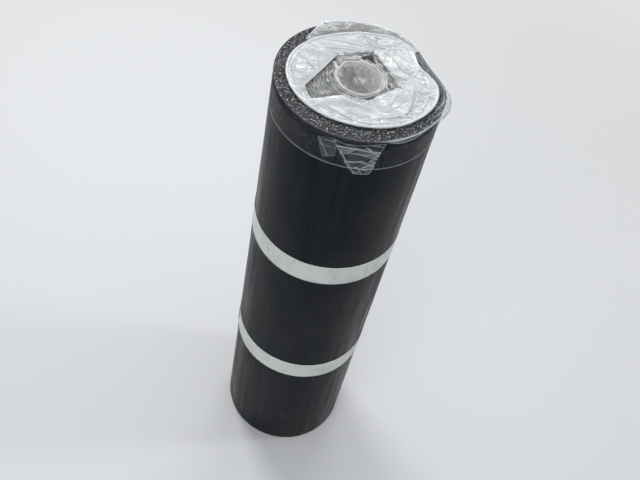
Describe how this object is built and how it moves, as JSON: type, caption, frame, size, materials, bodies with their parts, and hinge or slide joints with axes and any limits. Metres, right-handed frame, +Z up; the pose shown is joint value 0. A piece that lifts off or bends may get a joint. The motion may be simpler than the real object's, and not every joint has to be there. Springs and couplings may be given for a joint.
{
  "type": "roll of roofing felt",
  "caption": "One upright roll of bitumen roofing felt on a card tube, with a milky film over its upper end, clear tape round the rim and two plain white bands.",
  "frame": {"origin": "middle of the tube's bore, in the plane of the roll's lower end", "axes": "+Z up along the bore, -Y towards the viewer's side, +X to the viewer's right"},
  "size_m": [0.2666, 0.2747, 1.0035],
  "materials": {
    "felt": "satin",
    "card": "matte",
    "clear_tape": "gloss",
    "milky_film": "gloss",
    "white_band": "satin"
  },
  "bodies": {
    "root": {"felt_roll": "felt", "core_tube": "card", "rim_tape": "clear_tape", "wide_tape_end": "clear_tape", "narrow_tape_end": "clear_tape", "end_film": "milky_film", "upper_band": "white_band", "lower_band": "white_band"}
  },
  "joints": []
}
